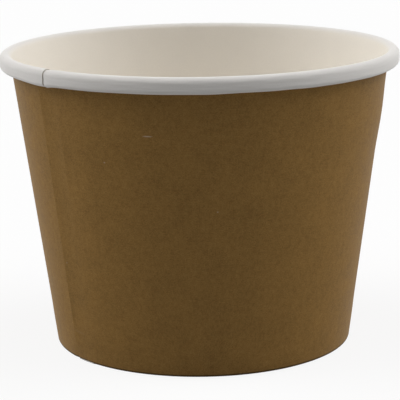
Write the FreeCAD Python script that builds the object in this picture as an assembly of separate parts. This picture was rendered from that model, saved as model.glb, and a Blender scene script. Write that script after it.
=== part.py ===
import FreeCAD, Part
import math
import os

# Paper ice cream tub: one plain board blank wound into a cone with a glued side lap, its top
# rolled outwards into a hollow rim and its bottom hemmed inwards, and a round base held in the hem.
# Millimetres. The origin is the centre of the foot on the table, +Z is up and -Y is the front.
# An azimuth is 0 at the front and grows towards +X.

# The board
board = 0.40

# The cone
overall_height = 73.0
rim_diameter = 98.0
foot_diameter = 73.7

# The rolled rim, hollow inside two layers of board at the lap
roll_height = 3.85
roll_core_radius = 0.65
tuck_clearance = 0.20

# The side lap, where the outer flap lies over the inner one
lap_azimuth = -46.4
lap_width = 6.4
lap_ramp = 3.6

# The foot, where the wall is hemmed round the base's skirt
hem_headroom = 0.25

# The base
floor_height = 7.5
base_fold_radius = 0.45
glue_film = 0.02
skirt_clearance = 0.10

# Sizes worked out from the ones above
rim_radius = rim_diameter / 2
foot_radius = foot_diameter / 2
two_boards = 2 * board
roll_top_radius = roll_core_radius + two_boards
roll_bottom = overall_height - roll_height
top_bend_radial = rim_radius - roll_top_radius
top_bend_height = overall_height - roll_top_radius
base_bend_radius = base_fold_radius + board
skirt_room = board + 2 * glue_film
hem_top = floor_height - base_bend_radius - hem_headroom

# The tub's axis
axis_point = FreeCAD.Vector(0, 0, 0)
axis_direction = FreeCAD.Vector(0, 0, 1)


def lean_of_wall():
    """Angle from upright of a line that leaves the foot's edge and meets the top bend's outer face."""
    run = top_bend_radial - foot_radius
    reach = math.hypot(run, top_bend_height)
    return math.atan2(run, top_bend_height) - math.asin((roll_top_radius - board) / reach)


lean = lean_of_wall()
sine = math.sin(lean)
cosine = math.cos(lean)

# The lower bend is as wide as the free space beside a doubled wall lets its tucked end be.
free_space = (rim_radius - foot_radius) * cosine - roll_bottom * sine - board - tuck_clearance
lower_bend_radius = free_space / (1 + cosine + sine)


def point(radial, height):
    """A point of the half-plane that every section is drawn in."""
    return FreeCAD.Vector(radial, 0, height)


def on_wall(depth, height):
    """The point at a height, a depth outwards from the board's inner face, along the leaning wall."""
    inner_face = foot_radius - board / cosine + height * sine / cosine
    return point(inner_face + depth / cosine, height)


def arc_about(centre, radius, start_angle, end_angle):
    """A circular arc between two angles, in degrees from the radial direction."""
    stops = []
    for angle in (start_angle, (start_angle + end_angle) / 2, end_angle):
        turn = math.radians(angle)
        stops.append(centre + point(radius * math.cos(turn), radius * math.sin(turn)))
    return Part.Arc(*stops)


def bend(before, corner, after, radius):
    """A circular arc that rounds the corner between two straight runs."""
    first = (before - corner).normalize()
    second = (after - corner).normalize()
    half_angle = math.acos(first.dot(second)) / 2
    middle = (first + second).normalize()
    start = corner + first * (radius / math.tan(half_angle))
    end = corner + second * (radius / math.tan(half_angle))
    nearest = corner + middle * (radius / math.sin(half_angle) - radius)
    return Part.Arc(start, nearest, end)


def outline_face(steps):
    """A flat face whose edge runs through arcs and points in turn, with straight runs between them."""
    starts = [step if isinstance(step, FreeCAD.Vector) else step.StartPoint for step in steps]
    ends = [step if isinstance(step, FreeCAD.Vector) else step.EndPoint for step in steps]
    edges = []
    for index, step in enumerate(steps):
        if not isinstance(step, FreeCAD.Vector):
            edges.append(step.toShape())
        following = starts[(index + 1) % len(steps)]
        edges.append(Part.LineSegment(ends[index], following).toShape())
    return Part.Face(Part.Wire(edges))


def board_section(depth, thickness):
    """The blank's section from hem to rolled rim, starting a depth outwards from its inner face.

    The fold at the foot is creased sharp inside, so its outer bends have the board's thickness as radius.
    """
    outer = depth + thickness
    top_centre = point(top_bend_radial, top_bend_height)
    low_centre = point(rim_radius - lower_bend_radius, roll_bottom + lower_bend_radius)
    wall_side = 180 - math.degrees(lean)
    tucked_side = -180 - math.degrees(lean)
    hem_outer = -skirt_room - depth
    hem_inner = hem_outer - thickness
    foot_hem = on_wall(hem_inner, 0)
    foot_wall = on_wall(outer, 0)
    hem_top_inner = on_wall(hem_inner, hem_top)
    hem_top_outer = on_wall(hem_outer, hem_top)
    return outline_face([
        hem_top_inner,
        bend(hem_top_inner, foot_hem, foot_wall, board),
        bend(foot_hem, foot_wall, on_wall(outer, roll_bottom), board),
        arc_about(top_centre, roll_top_radius - outer, wall_side, 0),
        arc_about(low_centre, lower_bend_radius - outer, 0, tucked_side),
        arc_about(low_centre, lower_bend_radius - depth, tucked_side, 0),
        arc_about(top_centre, roll_top_radius - depth, 0, wall_side),
        on_wall(depth, thickness),
        on_wall(hem_outer, thickness),
        hem_top_outer,
    ])


def turned_to(shape, azimuth):
    """A shape of the drawing half-plane, turned about the tub's axis to an azimuth."""
    turned = shape.copy()
    turned.rotate(axis_point, axis_direction, azimuth - 90)
    return turned


def swept(section, start_azimuth, sweep):
    """A section carried round the tub's axis."""
    return turned_to(section, start_azimuth).revolve(axis_point, axis_direction, sweep)


def make_side_wall():
    """The wound blank: a single layer most of the way round, the lap, and the ramp down off the lap."""
    ramp_angle = math.degrees(lap_ramp / rim_radius)
    lap_reach = 2 * math.degrees(lap_width / foot_radius)
    ramp_end = lap_azimuth + ramp_angle
    single = swept(board_section(0, board), ramp_end, 360 - ramp_angle)

    # The lap is as wide at the foot as at the rim, so a slab with parallel sides bounds it.
    doubled = swept(board_section(0, two_boards), lap_azimuth - lap_reach, lap_reach)
    slab = Part.makeBox(rim_diameter, lap_width, 2 * overall_height,
                        FreeCAD.Vector(0, -lap_width, -overall_height / 2))
    lap = doubled.common(turned_to(slab, lap_azimuth))

    # The outer flap comes down from the inner flap's edge to the single layer.
    ramp_start_wire = turned_to(board_section(board, board), lap_azimuth).OuterWire
    ramp_end_wire = turned_to(board_section(0, board), ramp_end).OuterWire
    ramp = Part.makeLoft([ramp_start_wire, ramp_end_wire], True, True)
    return single.fuse([lap, ramp]).removeSplitter()


def make_base_disc():
    """The round base: a flat floor whose edge is turned down into a skirt inside the hem."""
    outer = -glue_film
    inner = outer - board
    floor_under = floor_height - board
    skirt_bottom = two_boards + skirt_clearance
    section = outline_face([
        point(0, floor_under),
        bend(point(0, floor_under), on_wall(inner, floor_under), on_wall(inner, skirt_bottom),
             base_fold_radius),
        on_wall(inner, skirt_bottom),
        on_wall(outer, skirt_bottom),
        bend(on_wall(outer, skirt_bottom), on_wall(outer, floor_height), point(0, floor_height),
             base_bend_radius),
        point(0, floor_height),
    ])
    return swept(section, 0, 360)


os.makedirs("parts", exist_ok=True)
make_side_wall().exportStep("parts/side_wall.step")
make_base_disc().exportStep("parts/base_disc.step")
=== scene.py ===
"""Paper ice cream tub: a kraft board wall with a side lap and a rolled rim, over a base let in from below.

Everything is in metres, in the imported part's frame: +Z is up and the photograph's side is at -Y.
An azimuth is 0 at the front and grows towards +X.
"""

import math

import bpy
import numpy as np
from mathutils import Matrix, Vector


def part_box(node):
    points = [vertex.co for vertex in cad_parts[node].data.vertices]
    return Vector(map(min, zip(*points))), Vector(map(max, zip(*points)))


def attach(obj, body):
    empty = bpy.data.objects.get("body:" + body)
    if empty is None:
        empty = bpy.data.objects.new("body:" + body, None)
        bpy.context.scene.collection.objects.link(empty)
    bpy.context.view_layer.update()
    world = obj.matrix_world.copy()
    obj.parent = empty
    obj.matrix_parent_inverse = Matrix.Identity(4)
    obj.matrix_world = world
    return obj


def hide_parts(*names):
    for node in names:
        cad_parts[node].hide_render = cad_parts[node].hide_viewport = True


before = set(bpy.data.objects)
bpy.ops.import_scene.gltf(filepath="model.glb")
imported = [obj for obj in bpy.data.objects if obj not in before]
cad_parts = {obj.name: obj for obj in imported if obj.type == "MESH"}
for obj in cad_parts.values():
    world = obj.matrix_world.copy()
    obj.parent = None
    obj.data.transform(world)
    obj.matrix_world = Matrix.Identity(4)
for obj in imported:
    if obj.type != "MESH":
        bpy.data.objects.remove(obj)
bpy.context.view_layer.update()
wall_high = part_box("side_wall")[1]
base_low, base_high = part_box("base_disc")

MM = 0.001

# The board and the cone it is wound into
BOARD = 0.40 * MM
RIM_RADIUS = max(wall_high[0], wall_high[1])
HEIGHT = wall_high[2]
FOOT_RADIUS = 36.85 * MM
LAYER_GAP = 0.01 * MM

# The rolled rim
ROLL_HEIGHT = 3.85 * MM
ROLL_TOP_RADIUS = 1.45 * MM
TUCK_CLEARANCE = 0.20 * MM

# The side lap: its edge, its widths, the ramp down off it, its dent, ridge and skew
LAP_AZIMUTH = math.radians(-46.4)
LAP_WIDTH_FOOT = 5.55 * MM
LAP_WIDTH_RIM = 6.10 * MM
LAP_RAMP = 3.6 * MM
LAP_DENT = 0.13 * MM
LAP_RIDGE = 0.09 * MM
LAP_SKEW = math.radians(-0.9)

# The heights between which the lap's ridge comes and goes, and the height from which it is fully pressed
LAP_RIDGE_RISE = (40 * MM, 46 * MM)
LAP_RIDGE_FALL = (58 * MM, 66 * MM)
LAP_PRESSED = 14 * MM

# How far below the roll the pressing ends, and the squeeze's share that the faces between the flaps take
LAP_PRESS_END = 1.2 * MM
LAP_SPLIT = 0.5

# The share of the turn after which the board slips under the outer flap
UNDER_START = 0.99

# How far the outer flap stands out on the roll over the inner one's edge, and the roll's sag beside the lap
ROLL_STEP = 0.25 * MM
ROLL_SAG = 0.45 * MM

# The foot and the base
FLOOR_HEIGHT = base_high[2]
HEM_TOP = 6.4 * MM
CREASE_RADIUS = 0.06 * MM
SKIRT_ROOM = 0.44 * MM
GLUE_FILM = 0.02 * MM
BASE_BEND_RADIUS = 0.85 * MM
SKIRT_BOTTOM = base_low[2]
HEM_SWELL = 0.07 * MM
HEM_SWELL_TOP = 10.5 * MM

# The squeeze of doubled boards: in the fold, by how far the section's normal points down, and at the foot
FOLD_SQUEEZE = 0.8
FOLD_FACING = (0.3, 0.9)
FOOT_SQUEEZE = 0.9
FOOT_SQUEEZE_HEIGHTS = (1 * MM, 6 * MM)

# The swell of the wall under the rim at the right, and the heights between which it comes and mostly goes
RIM_SWELL = 0.28 * MM
RIM_SWELL_RISE = (47 * MM, 57 * MM)
RIM_SWELL_FALL = (58 * MM, 66 * MM)
RIM_SWELL_LOST = 0.8
RIM_SWELL_POWER = 4

# The radius at which the round board is measured flat
MEAN_RADIUS = 42 * MM

# How far a normal points outwards where a face begins to count as an outside one, and where it fully does
OUTSIDE_FACING = (-0.1, 0.3)

# The angle past which an edge is drawn sharp
SMOOTH_ANGLE = math.radians(38)

# How finely each stretch of the board is drawn
HEM_ROWS = 5
CREASE_ROWS = 6
FOOT_ROWS = 3
WALL_ROWS = 40
ROLL_TOP_ROWS = 22
ROLL_SIDE_ROWS = 4
ROLL_LOW_ROWS = 18
LAP_COLUMNS = 24
RAMP_COLUMNS = 14
ROUND_COLUMNS = 300
DISC_ROWS = 24
BASE_BEND_ROWS = 10
SKIRT_ROWS = 6
BASE_COLUMNS = 192
BASE_POLE = 0.02 * MM


def wall_lean():
    """Angle from upright of the line that leaves the foot's edge and touches the roll's top bend inside."""
    run = RIM_RADIUS - ROLL_TOP_RADIUS - FOOT_RADIUS
    rise = HEIGHT - ROLL_TOP_RADIUS
    return math.atan2(run, rise) - math.asin((ROLL_TOP_RADIUS - BOARD) / math.hypot(run, rise))


LEAN = wall_lean()
SINE = math.sin(LEAN)
COSINE = math.cos(LEAN)
ROLL_BOTTOM = HEIGHT - ROLL_HEIGHT
TOP_BEND = (RIM_RADIUS - ROLL_TOP_RADIUS, HEIGHT - ROLL_TOP_RADIUS)
FREE_SPACE = (RIM_RADIUS - FOOT_RADIUS) * COSINE - ROLL_BOTTOM * SINE - BOARD - TUCK_CLEARANCE
LOW_RADIUS = FREE_SPACE / (1 + COSINE + SINE)
LOW_BEND = (RIM_RADIUS - LOW_RADIUS, ROLL_BOTTOM + LOW_RADIUS)
RAMP_ANGLE = LAP_RAMP / RIM_RADIUS
LAP_SLIP_HEIGHTS = (ROLL_BOTTOM - 1 * MM, ROLL_BOTTOM + 0.5 * MM)

# Where along the board, in millimetres from the hem's edge, the coating turns to its darker, cooler painted
# shade towards the roll
WALL_END_MM = (HEM_TOP + SKIRT_ROOM + HEIGHT / COSINE) / MM
ROLL_START_MM = WALL_END_MM - 1.9
ROLL_BLEND_MM = 1.5

# How dark the painted shade on the fold at the foot is, and the heights between which that fades
FOLD_PAINTED_SHADE = 0.35
FOLD_DARK_TOP = 0.48 * MM
FOLD_FADED = 0.66 * MM


def smooth(value, low, high):
    """0 below low, 1 above high, and 3t^2 - 2t^3 between."""
    t = np.clip((value - low) / (high - low), 0, 1)
    return t * t * (3 - 2 * t)


def steps(count):
    """A column of evenly spaced values from 0 to 1."""
    return np.linspace(0, 1, count)[:, None]


def on_wall(depth, height):
    """Radius at a height of the leaning line that lies a depth outwards from the board's white face."""
    return FOOT_RADIUS + (depth - BOARD) / COSINE + height * SINE / COSINE


def arc(centre, radius, start, end, count, inwards):
    """Rows along a circular arc, with the direction from the white face to the kraft face at each."""
    angle = start + (end - start) * steps(count)
    sign = -1 if inwards else 1
    r = centre[0] + radius * np.cos(angle)
    z = centre[1] + radius * np.sin(angle)
    return r, z, sign * np.cos(angle) + 0 * r, sign * np.sin(angle) + 0 * r


def straight(start, end, normal, count):
    """Rows along a straight run between two points of the section."""
    t = steps(count)[1:-1]
    r = start[0] + (end[0] - start[0]) * t
    z = start[1] + (end[1] - start[1]) * t
    return r, z, normal[0] + 0 * r, normal[1] + 0 * r


def board_section(depth, roll_depth, lift, roll_drop):
    """The white face's path: from the hem's top round the foot, up the wall and round the roll to its end.

    Each column has four values of its own. depth is how far its flap lies outside the other one at the
    foot, and roll_depth is the same in the roll. lift is how far its fold rides above the other flap's.
    roll_drop is how far the roll's lower edge hangs down.
    Returns radius, height and the section normal that points to the kraft face, as rows by columns.
    """
    hem = -SKIRT_ROOM - depth
    fold = lift + BOARD + CREASE_RADIUS
    hem_bend = (on_wall(hem + CREASE_RADIUS, fold), fold)
    wall_bend = (on_wall(depth - CREASE_RADIUS, fold), fold)
    top_radius = ROLL_TOP_RADIUS - roll_depth
    low_radius = LOW_RADIUS - roll_depth
    low_bend = (LOW_BEND[0] + 0 * depth, LOW_BEND[1] - roll_drop)
    top_bend = (TOP_BEND[0] + 0 * depth, TOP_BEND[1] + 0 * depth)
    crease_1 = arc(hem_bend, CREASE_RADIUS, math.pi - LEAN, 1.5 * math.pi, CREASE_ROWS, False)
    crease_2 = arc(wall_bend, CREASE_RADIUS, 1.5 * math.pi, 2 * math.pi - LEAN, CREASE_ROWS, False)
    top = arc(top_bend, top_radius, math.pi - LEAN, 0, ROLL_TOP_ROWS, True)
    low = arc(low_bend, low_radius, 0, -math.pi - LEAN, ROLL_LOW_ROWS, True)
    hem_start = (on_wall(hem, HEM_TOP), HEM_TOP + 0 * depth)
    runs = [
        (hem_start[0][None], hem_start[1][None], -COSINE + 0 * depth[None], SINE + 0 * depth[None]),
        straight(hem_start, (crease_1[0][0], crease_1[1][0]), (-COSINE, SINE), HEM_ROWS),
        crease_1,
        straight((crease_1[0][-1], crease_1[1][-1]), (crease_2[0][0], crease_2[1][0]), (0, -1), FOOT_ROWS),
        crease_2,
        straight((crease_2[0][-1], crease_2[1][-1]), (top[0][0], top[1][0]), (COSINE, -SINE), WALL_ROWS),
        top,
        straight((top[0][-1], top[1][-1]), (low[0][0], low[1][0]), (-1, 0), ROLL_SIDE_ROWS),
        low,
    ]
    return [np.concatenate(parts) for parts in zip(*runs)]


# Where the roll's lower edge leaves its mean: azimuth and width in degrees, and drop in millimetres
ROLL_DROPS = (
    (-50.5, 6.5, 0.29),
    (-33, 9, 0.05),
    (-12, 7, 0.05),
    (2, 5, 0.08),
    (13, 8, -0.10),
    (25, 4, -0.10),
    (37, 5, -0.06),
    (48, 5, -0.06),
)


def roll_drop_at(azimuth):
    """How far the roll's lower edge hangs below its mean, as bell curves round the rim."""
    degrees = np.degrees(azimuth)
    drops = [drop * np.exp(-((degrees - middle) / width) ** 2) for middle, width, drop in ROLL_DROPS]
    return MM * sum(drops)


def wall_swell_at(azimuth, height):
    """How far the wall stands out from its cone: at the hem, and a little under the rim at the right."""
    at_hem = HEM_SWELL * (1 - smooth(height, HEM_TOP, HEM_SWELL_TOP))
    right = np.maximum(np.sin(azimuth), 0) ** RIM_SWELL_POWER
    rise = smooth(height, *RIM_SWELL_RISE) * (1 - RIM_SWELL_LOST * smooth(height, *RIM_SWELL_FALL))
    return at_hem + RIM_SWELL * right * rise * (1 - smooth(height, ROLL_BOTTOM, HEIGHT))


def blank_columns():
    """The columns across the wound blank: shares of the lap, the ramp and a turn, and how they are stacked.

    The blank starts at the outer flap's cut edge, crosses the lap, comes down the ramp, goes round the tub
    and ends under its own start, at the inner flap's edge. stack is 1 on the outer flap and falls to 0 down
    the ramp as (1 - t)^2. under is 1 on the inner flap. across goes from 0 at the outer flap's edge to 1 at
    the inner one's. press is how much of the lap's pressing a column takes: across on both flaps, and stack
    on the ramp.
    """
    lap = np.linspace(-1, 0, LAP_COLUMNS)
    ramp = np.linspace(0, 1, RAMP_COLUMNS)[1:]
    turn = np.linspace(0, 1, ROUND_COLUMNS)[1:-1]
    no_lap, all_lap = np.zeros(len(lap)), np.ones(len(lap))
    no_ramp, all_ramp = np.zeros(len(ramp)), np.ones(len(ramp))
    no_turn = np.zeros(len(turn))
    slope = (1 - ramp) ** 2
    share_lap = np.concatenate([lap, no_ramp, -turn, lap])
    share_ramp = np.concatenate([no_lap, ramp, 1 - turn, no_lap])
    whole_turns = np.concatenate([no_lap, no_ramp, turn, all_lap])
    stack = np.concatenate([all_lap, slope, no_turn, no_lap])
    under = np.concatenate([no_lap, no_ramp, smooth(turn, UNDER_START, 1), all_lap])
    across = np.concatenate([1 + lap, all_ramp, no_turn, 1 + lap])
    press = np.concatenate([1 + lap, slope, no_turn, 1 + lap])
    return share_lap, share_ramp, whole_turns, stack, under, across, press


def azimuths(radius, height, share_lap, share_ramp, whole_turns):
    """The azimuth of each point: the lap's edge, plus its shares of the lap, of the ramp and of a turn.

    The lap is nearly as wide at the foot as at the rim, so its angle grows as the radius shrinks. Where the
    board is rolled, the lap has slipped sideways by a small angle.
    """
    width = LAP_WIDTH_FOOT + (LAP_WIDTH_RIM - LAP_WIDTH_FOOT) * height / HEIGHT
    lap_angle = np.arcsin(np.clip(width / radius, -1, 1))
    edge = LAP_AZIMUTH + LAP_SKEW * smooth(height, *LAP_SLIP_HEIGHTS)
    return edge + share_lap * lap_angle + share_ramp * RAMP_ANGLE + 2 * math.pi * whole_turns


def lap_sink_at(height, across, press, stack, under, roll_step):
    """How far the pressed lap lies inside its round place, from the outer flap's edge to the ramp's end.

    The outer face comes down from one board proud at the outer flap's edge to the cone at the inner flap's
    edge, nearly flat, with a low ridge over that edge high on the wall. Over the hem the boards are
    squeezed instead, most at the foot, and the inner face stays round.
    Returns the sink of the white face and of the kraft face.
    """
    layer = BOARD + LAYER_GAP
    open_wall = smooth(height, HEM_SWELL_TOP, LAP_PRESSED)
    below_roll = 1 - smooth(height, ROLL_BOTTOM - LAP_PRESS_END, ROLL_BOTTOM)
    proud = layer + (roll_step - layer) * height / HEIGHT
    ridge = LAP_RIDGE * smooth(height, *LAP_RIDGE_RISE) * (1 - smooth(height, *LAP_RIDGE_FALL))
    flat = 4 * LAP_DENT * across * (1 - across)
    whole = (proud - ridge) * press + flat
    doubled = np.maximum(stack, under)
    at_foot = FOOT_SQUEEZE * (1 - smooth(height, *FOOT_SQUEEZE_HEIGHTS)) * doubled
    whole = whole + at_foot * np.maximum(proud * doubled - whole, 0)
    white_share = open_wall + (1 - open_wall) * LAP_SPLIT * (stack > 0)
    kraft_share = open_wall + (1 - open_wall) * np.where(stack > 0, 1.0, LAP_SPLIT)
    return whole * white_share * below_roll, whole * kraft_share * below_roll


def grid_faces(rows, columns, first, flip):
    """Quads between neighbouring rows and columns of a grid whose vertices start at index first."""
    i, j = np.meshgrid(np.arange(rows - 1), np.arange(columns - 1), indexing="ij")
    a = first + i * columns + j
    quads = np.stack([a, a + 1, a + columns + 1, a + columns], -1).reshape(-1, 4)
    return quads[:, ::-1] if flip else quads


def edge_faces(kraft_line, white_line):
    """Quads that close the board's cut edge between a line of kraft vertices and one of white vertices."""
    return np.stack([kraft_line[1:], kraft_line[:-1], white_line[:-1], white_line[1:]], -1)


def new_piece(name, points, faces, slots, materials, place):
    """A mesh object at the origin. place is each vertex's own spot on the flat board, in millimetres."""
    mesh = bpy.data.meshes.new(name)
    mesh.from_pydata(points.tolist(), [], faces)
    for material in materials:
        mesh.materials.append(material)
    mesh.polygons.foreach_set("material_index", slots.astype(np.int32))
    mesh.polygons.foreach_set("use_smooth", np.ones(len(faces), bool))
    attribute = mesh.attributes.new("board_mm", "FLOAT_VECTOR", "POINT")
    attribute.data.foreach_set("vector", place.astype(np.float32).ravel())
    mesh.update()
    mesh.set_sharp_from_angle(angle=SMOOTH_ANGLE)
    piece = bpy.data.objects.new(name, mesh)
    bpy.context.scene.collection.objects.link(piece)
    return piece


def in_space(radius, azimuth, height):
    """Points from radius, azimuth and height."""
    return np.stack([radius * np.sin(azimuth), -radius * np.cos(azimuth), height], -1)


def make_wall(materials):
    """The wound blank: its white face and its kraft face as two grids, joined round all four cut edges.

    Each grid's points are the section's points, moved along the section's normal by the board's thickness
    for the kraft face. Where the folds or the rolled flaps lie on each other, the board is thinner.
    """
    share_lap, share_ramp, whole_turns, stack, under, across, press = blank_columns()
    layer = BOARD + LAYER_GAP
    rim_azimuth = azimuths(RIM_RADIUS, HEIGHT, share_lap, share_ramp, whole_turns)
    wrapped = (rim_azimuth - LAP_AZIMUTH + math.pi) % (2 * math.pi) - math.pi + LAP_AZIMUTH
    roll_step = layer - (layer - ROLL_STEP) * across ** 2
    lift = (1 - FOLD_SQUEEZE) * layer * under
    roll_drop = roll_drop_at(wrapped) + ROLL_SAG * stack * (share_ramp > 0)
    r, z, normal_r, normal_z = board_section(layer * stack, roll_step * stack, lift, roll_drop)
    rows, columns = r.shape
    path = np.cumsum(np.hypot(np.diff(r, axis=0), np.diff(z, axis=0)), 0)
    along = np.concatenate([np.zeros((1, columns)), path])
    in_lower_half = (np.arange(rows) < rows / 2)[:, None]
    folded = FOLD_SQUEEZE * smooth(-normal_z, *FOLD_FACING) * in_lower_half * np.maximum(stack, under)
    rolled = (1 - ROLL_STEP / layer) * across ** 2 * under * np.clip(z / HEIGHT, 0, 1)
    white_sink, kraft_sink = lap_sink_at(z, across, press, stack, under, roll_step)
    on_outside = smooth(normal_r, *OUTSIDE_FACING)
    sheets = []
    for thickness, sink in ((BOARD * folded, white_sink), (BOARD * (1 - rolled), kraft_sink)):
        sheet_r = r + thickness * normal_r
        sheet_z = z + thickness * normal_z
        azimuth = azimuths(sheet_r, sheet_z, share_lap, share_ramp, whole_turns)
        swell = wall_swell_at(azimuth, sheet_z)
        sheets.append((azimuth, in_space(sheet_r + (swell - sink) * on_outside, azimuth, sheet_z)))
    points = np.concatenate([sheet.reshape(-1, 3) for azimuth, sheet in sheets])
    kraft_azimuth = sheets[1][0]
    place = np.stack([kraft_azimuth * MEAN_RADIUS / MM, along / MM, 0 * r], -1).reshape(-1, 3)
    white = np.arange(rows * columns).reshape(rows, columns)
    kraft = white + rows * columns
    groups = [
        (grid_faces(rows, columns, rows * columns, False), 0),
        (grid_faces(rows, columns, 0, True), 1),
        (edge_faces(kraft[0], white[0]), 2),
        (edge_faces(kraft[-1][::-1], white[-1][::-1]), 2),
        (edge_faces(kraft[::-1, 0], white[::-1, 0]), 2),
        (edge_faces(kraft[:, -1], white[:, -1]), 2),
    ]
    faces = np.concatenate([group for group, slot in groups])
    slots = np.concatenate([np.full(len(group), slot) for group, slot in groups])
    return new_piece("tub_wall", points, faces.tolist(), slots, materials, np.concatenate([place, place]))


def base_face(depth, bend_radius):
    """One face of the base, from its middle outwards: flat, round its bend, then down the skirt.

    Both faces bend about one centre, the one whose bend touches the floor's top and the skirt's outside.
    """
    reach = BASE_BEND_RADIUS * math.tan((math.pi / 2 + LEAN) / 2)
    centre_r = on_wall(-GLUE_FILM, FLOOR_HEIGHT) - reach
    centre_z = FLOOR_HEIGHT - BASE_BEND_RADIUS
    angle = np.linspace(math.pi / 2, -LEAN, BASE_BEND_ROWS)
    disc_r = np.linspace(BASE_POLE, centre_r, DISC_ROWS)[:-1]
    disc_z = 0 * disc_r + centre_z + bend_radius
    skirt_z = np.linspace(centre_z - BASE_BEND_RADIUS * SINE, SKIRT_BOTTOM, SKIRT_ROWS)[1:]
    r = np.concatenate([disc_r, centre_r + bend_radius * np.cos(angle), on_wall(depth, skirt_z)])
    z = np.concatenate([disc_z, centre_z + bend_radius * np.sin(angle), skirt_z])
    return r, z


def make_base(material):
    """The base: a flat disc whose edge bends down into a skirt, one closed profile turned about the axis."""
    outer_r, outer_z = base_face(-GLUE_FILM, BASE_BEND_RADIUS)
    inner_r, inner_z = base_face(-GLUE_FILM - BOARD, BASE_BEND_RADIUS - BOARD)
    r = np.concatenate([outer_r, inner_r[::-1]])
    z = np.concatenate([outer_z, inner_z[::-1]])
    azimuth = np.linspace(0, 2 * math.pi, BASE_COLUMNS, endpoint=False)
    points = in_space(*np.broadcast_arrays(r[:, None], azimuth[None], z[:, None])).reshape(-1, 3)
    i, j = np.meshgrid(np.arange(len(r) - 1), np.arange(BASE_COLUMNS), indexing="ij")
    here = i * BASE_COLUMNS + j
    beside = i * BASE_COLUMNS + (j + 1) % BASE_COLUMNS
    faces = np.stack([here, here + BASE_COLUMNS, beside + BASE_COLUMNS, beside], -1).reshape(-1, 4).tolist()
    faces.append(list(range(BASE_COLUMNS)))
    faces.append(list(range(len(points) - BASE_COLUMNS, len(points)))[::-1])
    place = points * (1, 1, 0) / MM
    return new_piece("tub_base", points, faces, np.zeros(len(faces)), [material], place)


NOISE_ROUGHNESS = 0.7


def new_material(name):
    """A node material, its nodes, its links and its Principled shader."""
    material = bpy.data.materials.new(name)
    material.use_nodes = True
    nodes = material.node_tree.nodes
    return material, nodes, material.node_tree.links, nodes["Principled BSDF"]


def new_math(nodes, links, operation, first, second):
    """A maths node on two values, each a number or another node's output."""
    node = nodes.new("ShaderNodeMath")
    node.operation = operation
    for socket, value in zip(node.inputs, (first, second)):
        if isinstance(value, (int, float)):
            socket.default_value = value
        else:
            links.new(value, socket)
    return node.outputs[0]


def place_on_board(nodes):
    """Where a point lies on the flat board, in millimetres."""
    board = nodes.new("ShaderNodeAttribute")
    board.attribute_name = "board_mm"
    return board.outputs["Vector"]


def board_noise(nodes, links, size, detail=2.0, turn=0.0, stretch=1.0):
    """Noise on the flat board, of a size in millimetres, drawn out one way if stretch is over 1."""
    turned = nodes.new("ShaderNodeMapping")
    turned.vector_type = "TEXTURE"
    turned.inputs["Rotation"].default_value = (0, 0, math.radians(turn))
    turned.inputs["Scale"].default_value = (size * stretch, size, 1)
    links.new(place_on_board(nodes), turned.inputs["Vector"])
    noise = nodes.new("ShaderNodeTexNoise")
    noise.noise_dimensions = "2D"
    noise.inputs["Scale"].default_value = 1.0
    noise.inputs["Detail"].default_value = detail
    noise.inputs["Roughness"].default_value = NOISE_ROUGHNESS
    links.new(turned.outputs["Vector"], noise.inputs["Vector"])
    return noise.outputs[0]


def swing(nodes, links, noise, amount):
    """A noise's swing about nought, times an amount."""
    centred = new_math(nodes, links, "SUBTRACT", noise, 0.5)
    return new_math(nodes, links, "MULTIPLY", centred, amount)


def total_of(nodes, links, start, values):
    """A number plus any count of values."""
    for value in values:
        start = new_math(nodes, links, "ADD", value, start)
    return start


def blended(nodes, links, first, second, blend):
    """A colour between two, each a constant or another node's output, by a blend from 0 to 1."""
    mix = nodes.new("ShaderNodeMix")
    mix.data_type = "RGBA"
    links.new(blend, mix.inputs["Factor"])
    colour_sockets = [socket for socket in mix.inputs if socket.type == "RGBA"]
    for socket, colour in zip(colour_sockets, (first, second)):
        if isinstance(colour, tuple):
            socket.default_value = (*colour, 1)
        else:
            links.new(colour, socket)
    return [socket for socket in mix.outputs if socket.type == "RGBA"][0]


def shaded(nodes, links, colour, shade):
    """A colour made lighter or darker by a factor."""
    scale = nodes.new("ShaderNodeVectorMath")
    scale.operation = "SCALE"
    links.new(colour, scale.inputs[0])
    links.new(shade, scale.inputs["Scale"])
    return scale.outputs[0]


def bumped(nodes, links, shader, height, distance):
    """Relief on a shader from a height, whose full swing is a distance in metres."""
    bump = nodes.new("ShaderNodeBump")
    bump.inputs["Distance"].default_value = distance
    links.new(height, bump.inputs["Height"])
    links.new(bump.outputs["Normal"], shader.inputs["Normal"])


# Pale scuffs on the kraft face, and one painted highlight on a crease across the lap: azimuth in degrees,
# height, length and width in millimetres, tilt in degrees, and strength. Each is an oval that reaches deeper
# than the board is thick
KRAFT_SCUFFS_AND_HIGHLIGHT = (
    (-15.5, 59.0, 2.8, 0.34, 0, 1.5),
    (-30.2, 52.1, 0.6, 0.45, 0, 0.9),
    (-53.2, 25.0, 0.6, 0.45, 60, 0.7),
    # Painted highlight: a pale line standing for light caught on a crease across the lap
    (-52.0, 7.45, 5.4, 0.80, -8, 0.10),
    (4.9, 41.1, 0.45, 0.45, 0, 0.9),
)
PALE_MARK_COLOUR = (0.52, 0.42, 0.32)
PALE_MARK_REACH = 2 * MM


def risen(nodes, links, place, axis, start, end):
    """How far a place's coordinate has come from start to end: 0 before, 1 after, evenly in between."""
    split = nodes.new("ShaderNodeSeparateXYZ")
    links.new(place, split.inputs[0])
    spread = nodes.new("ShaderNodeMapRange")
    spread.inputs["From Min"].default_value = start
    spread.inputs["From Max"].default_value = end
    links.new(split.outputs[axis], spread.inputs["Value"])
    return spread.outputs["Result"]


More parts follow.
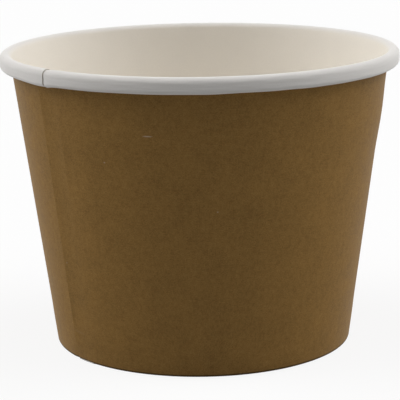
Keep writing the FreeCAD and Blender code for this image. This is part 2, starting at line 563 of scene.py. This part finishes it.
def mark_on_wall(nodes, links, azimuth, height, length, width, tilt):
    """An oval spot on the wall: 1 less the distance from its middle, and 0 outside."""
    spot = nodes.new("ShaderNodeMapping")
    spot.vector_type = "TEXTURE"
    turn = math.radians(azimuth)
    radius = on_wall(BOARD, height * MM)
    spot.inputs["Location"].default_value = (radius * math.sin(turn), -radius * math.cos(turn), height * MM)
    spot.inputs["Rotation"].default_value = (0, -math.radians(tilt), turn)
    spot.inputs["Scale"].default_value = (length / 2 * MM, PALE_MARK_REACH, width / 2 * MM)
    links.new(nodes.new("ShaderNodeTexCoord").outputs["Object"], spot.inputs["Vector"])
    distance = nodes.new("ShaderNodeVectorMath")
    distance.operation = "LENGTH"
    links.new(spot.outputs["Vector"], distance.inputs[0])
    inside = new_math(nodes, links, "SUBTRACT", 1.0, distance.outputs["Value"])
    return new_math(nodes, links, "MAXIMUM", inside, 0.0)


KRAFT_RED = (0.316, 0.171, 0.0480)
KRAFT_GREEN = (0.300, 0.175, 0.0535)
KRAFT_ROUGHNESS = 0.55
KRAFT_RELIEF = 0.012 * MM
FIBRE_TURNS = (24, -31)


def kraft_paper():
    """Brown kraft face: clouded pulp, specks, fibres lying two ways, pale scuffs, a painted highlight on a
    crease across the lap and painted shade on the fold at the foot.
    """
    material, nodes, links, shader = new_material("kraft_paper")
    cloud = board_noise(nodes, links, size=7.0)
    mottle = board_noise(nodes, links, size=1.3)
    speck = board_noise(nodes, links, size=0.32)
    fibres = [
        board_noise(nodes, links, size=0.10, detail=1.0, turn=turn, stretch=9.0)
        for turn in FIBRE_TURNS
    ]
    pulp = total_of(nodes, links, 1.0, [
        swing(nodes, links, cloud, amount=0.30),
        swing(nodes, links, mottle, amount=0.40),
        swing(nodes, links, speck, amount=0.70),
        swing(nodes, links, fibres[0], amount=0.35),
        swing(nodes, links, fibres[1], amount=0.35),
    ])
    # Painted shade: the kraft is darkened on the fold at the foot, fading out above it
    in_place = nodes.new("ShaderNodeTexCoord").outputs["Object"]
    off_fold = risen(nodes, links, in_place, "Z", FOLD_DARK_TOP, FOLD_FADED)
    lighter = new_math(nodes, links, "MULTIPLY", off_fold, 1 - FOLD_PAINTED_SHADE)
    fold_painted_shade = total_of(nodes, links, FOLD_PAINTED_SHADE, [lighter])
    shade = new_math(nodes, links, "MULTIPLY", pulp, fold_painted_shade)
    # Pale scuffs, and one painted highlight on a crease across the lap
    scuffs_and_highlight = []
    for azimuth, height, length, width, tilt, strength in KRAFT_SCUFFS_AND_HIGHLIGHT:
        spot = mark_on_wall(nodes, links, azimuth, height, length, width, tilt)
        scuffs_and_highlight.append(new_math(nodes, links, "MULTIPLY", spot, strength))
    brown = blended(nodes, links, KRAFT_RED, KRAFT_GREEN, mottle)
    scuff_and_highlight = new_math(nodes, links, "MINIMUM", total_of(nodes, links, 0.0, scuffs_and_highlight), 1.0)
    colour = blended(nodes, links, shaded(nodes, links, brown, shade), PALE_MARK_COLOUR, scuff_and_highlight)
    links.new(colour, shader.inputs["Base Color"])
    rough = total_of(nodes, links, KRAFT_ROUGHNESS, [
        swing(nodes, links, speck, amount=0.25),
        swing(nodes, links, cloud, amount=0.1),
    ])
    links.new(rough, shader.inputs["Roughness"])
    shader.inputs["Specular IOR Level"].default_value = 0.08
    relief = total_of(nodes, links, speck, fibres)
    bumped(nodes, links, shader, relief, KRAFT_RELIEF)
    return material


# One white painted as two copies: lighter inside as painted light, darker and cooler on the roll as painted
# shade
INSIDE_WHITE_PAINTED_LIGHT = (0.947, 0.898, 0.818)
ROLL_WHITE_PAINTED_SHADE = (0.860, 0.832, 0.797)
COATING_ROUGHNESS = 0.4
COATING_RELIEF = 0.008 * MM
WRINKLE_SHARE = 12.0


def white_coating():
    """White coated face: a faint cloud and fibres, finely wrinkled where it is rolled, lighter inside as
    painted light and darker and cooler on the roll as painted shade.
    """
    material, nodes, links, shader = new_material("white_coating")
    cloud = board_noise(nodes, links, size=9.0)
    fine = board_noise(nodes, links, size=0.45)
    fibre = board_noise(nodes, links, size=0.12, detail=1.0, turn=15, stretch=8.0)
    wrinkle = board_noise(nodes, links, size=0.9, detail=1.0, stretch=9.0)
    rolled = risen(nodes, links, place_on_board(nodes), "Y", ROLL_START_MM, ROLL_START_MM + ROLL_BLEND_MM)
    # Painted light and shade: the inside's white lighter, the roll's darker and cooler
    white = blended(nodes, links, INSIDE_WHITE_PAINTED_LIGHT, ROLL_WHITE_PAINTED_SHADE, rolled)
    shade = total_of(nodes, links, 1.0, [
        swing(nodes, links, cloud, amount=0.04),
        swing(nodes, links, fine, amount=0.05),
    ])
    links.new(shaded(nodes, links, white, shade), shader.inputs["Base Color"])
    rough = total_of(nodes, links, COATING_ROUGHNESS, [
        swing(nodes, links, fine, amount=0.15),
        swing(nodes, links, cloud, amount=0.1),
    ])
    links.new(rough, shader.inputs["Roughness"])
    shader.inputs["Specular IOR Level"].default_value = 0.15
    wrinkles = new_math(nodes, links, "MULTIPLY", wrinkle, WRINKLE_SHARE)
    wrinkled = new_math(nodes, links, "MULTIPLY", rolled, wrinkles)
    bumped(nodes, links, shader, total_of(nodes, links, fine, [fibre, wrinkled]), COATING_RELIEF)
    return material


PULP_PALE = (0.62, 0.58, 0.51)
PULP_DARK = (0.52, 0.47, 0.40)
PULP_ROUGHNESS = 0.85
PULP_RELIEF = 0.03 * MM


def cut_board():
    """The board's raw cut edge: pale pressed pulp."""
    material, nodes, links, shader = new_material("cut_board")
    grain = board_noise(nodes, links, size=0.15)
    cloud = board_noise(nodes, links, size=2.0)
    shade = total_of(nodes, links, 1.0, [swing(nodes, links, grain, amount=0.25)])
    pulp = blended(nodes, links, PULP_PALE, PULP_DARK, cloud)
    links.new(shaded(nodes, links, pulp, shade), shader.inputs["Base Color"])
    rough = total_of(nodes, links, PULP_ROUGHNESS, [swing(nodes, links, grain, amount=0.2)])
    links.new(rough, shader.inputs["Roughness"])
    shader.inputs["Specular IOR Level"].default_value = 0.2
    bumped(nodes, links, shader, grain, PULP_RELIEF)
    return material


# The floor: its grey as the tub's light sees it, and how much plain white covers its shade where it is seen
FLOOR_HALF = 1.5
FLOOR_COLOUR = (0.4, 0.4, 0.4, 1)
FLOOR_WHITENING = 0.85
SEEN_WHITE = (1, 1, 1, 1)


def seen_white(nodes, links):
    """1 for the rays that see the surroundings as white: the camera's, glossy and transmitted ones."""
    path = nodes.new("ShaderNodeLightPath")
    either = new_math(nodes, links, "MAXIMUM", path.outputs["Is Camera Ray"], path.outputs["Is Glossy Ray"])
    return new_math(nodes, links, "MAXIMUM", either, path.outputs["Is Transmission Ray"])


def pale_floor():
    """A plain floor, grey to the light and nearly white where it is seen, with a faint shadow left."""
    material, nodes, links, shader = new_material("pale_floor")
    shader.inputs["Base Color"].default_value = FLOOR_COLOUR
    shader.inputs["Roughness"].default_value = 0.9
    shader.inputs["Specular IOR Level"].default_value = 0.0
    seen = nodes.new("ShaderNodeBsdfDiffuse")
    seen.inputs["Color"].default_value = SEEN_WHITE
    glow = nodes.new("ShaderNodeEmission")
    pale = nodes.new("ShaderNodeMixShader")
    pale.inputs[0].default_value = FLOOR_WHITENING
    links.new(seen.outputs[0], pale.inputs[1])
    links.new(glow.outputs[0], pale.inputs[2])
    mix = nodes.new("ShaderNodeMixShader")
    links.new(seen_white(nodes, links), mix.inputs[0])
    links.new(shader.outputs[0], mix.inputs[1])
    links.new(pale.outputs[0], mix.inputs[2])
    links.new(mix.outputs[0], nodes["Material Output"].inputs["Surface"])
    return material


def make_floor():
    """A square floor under the foot."""
    near, far = -FLOOR_HALF, FLOOR_HALF
    mesh = bpy.data.meshes.new("floor")
    mesh.from_pydata([(near, near, 0), (far, near, 0), (far, far, 0), (near, far, 0)], [], [(0, 1, 2, 3)])
    mesh.materials.append(pale_floor())
    floor = bpy.data.objects.new("floor", mesh)
    bpy.context.scene.collection.objects.link(floor)
    return floor


# The soft light: broad lobes, each with its azimuth and height in degrees, its power and its strength
SKY_LOBES = (
    (0, 75, 40, 2.00),
    (90, 44, 12, 4.60),
    (-90, 44, 12, 4.60),
    (115, 0, 8, 2.05),
    (-115, 0, 8, 2.05),
)


def make_world():
    """Soft light in broad lobes from above and from the sides, and plain white where the sky is seen.

    A lobe's light falls off as the cosine from its middle, raised to its power.
    """
    world = bpy.data.worlds.new("world")
    bpy.context.scene.world = world
    world.use_nodes = True
    nodes = world.node_tree.nodes
    links = world.node_tree.links
    nodes.clear()
    direction = nodes.new("ShaderNodeTexCoord").outputs["Generated"]
    total = 0.0
    for azimuth, height, power, strength in SKY_LOBES:
        towards = nodes.new("ShaderNodeVectorMath")
        towards.operation = "DOT_PRODUCT"
        rise = math.radians(height)
        towards.inputs[1].default_value = in_space(math.cos(rise), math.radians(azimuth), math.sin(rise))
        links.new(direction, towards.inputs[0])
        facing = new_math(nodes, links, "MAXIMUM", towards.outputs["Value"], 0.0)
        lobe = new_math(nodes, links, "MULTIPLY", new_math(nodes, links, "POWER", facing, power), strength)
        total = new_math(nodes, links, "ADD", lobe, total)
    light = nodes.new("ShaderNodeBackground")
    links.new(total, light.inputs["Strength"])
    seen = nodes.new("ShaderNodeBackground")
    seen.inputs["Color"].default_value = SEEN_WHITE
    mix = nodes.new("ShaderNodeMixShader")
    links.new(seen_white(nodes, links), mix.inputs[0])
    links.new(light.outputs[0], mix.inputs[1])
    links.new(seen.outputs[0], mix.inputs[2])
    output = nodes.new("ShaderNodeOutputWorld")
    links.new(mix.outputs[0], output.inputs["Surface"])


# The camera, fitted to the photograph's outlines
CAMERA_PLACE = Vector((0.0, -437.66, 134.14)) * MM
CAMERA_TARGET = Vector((-0.40, 0.0, 34.37)) * MM
CAMERA_ROLL = math.radians(0.878)
CAMERA_LENS = 160.90
SENSOR_WIDTH = 36.0


def make_camera():
    """A long lens that looks at the tub from a little above, turned slightly about its own axis."""
    data = bpy.data.cameras.new("camera")
    data.lens = CAMERA_LENS
    data.sensor_width = SENSOR_WIDTH
    data.clip_start = 0.01
    camera = bpy.data.objects.new("camera", data)
    bpy.context.scene.collection.objects.link(camera)
    forward = (CAMERA_TARGET - CAMERA_PLACE).normalized()
    level = forward.cross(Vector((0, 0, 1))).normalized()
    upright = level.cross(forward)
    right = level * math.cos(CAMERA_ROLL) - upright * math.sin(CAMERA_ROLL)
    up = right.cross(forward)
    turn = Matrix((right, up, -forward)).transposed()
    camera.matrix_world = Matrix.Translation(CAMERA_PLACE) @ turn.to_4x4()
    bpy.context.scene.camera = camera


white = white_coating()
wall = make_wall([kraft_paper(), white, cut_board()])
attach(wall, "root")
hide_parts("side_wall")

base = make_base(white)
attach(base, "root")
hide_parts("base_disc")

floor = make_floor()
make_world()
make_camera()
bpy.context.scene.view_settings.view_transform = "Standard"
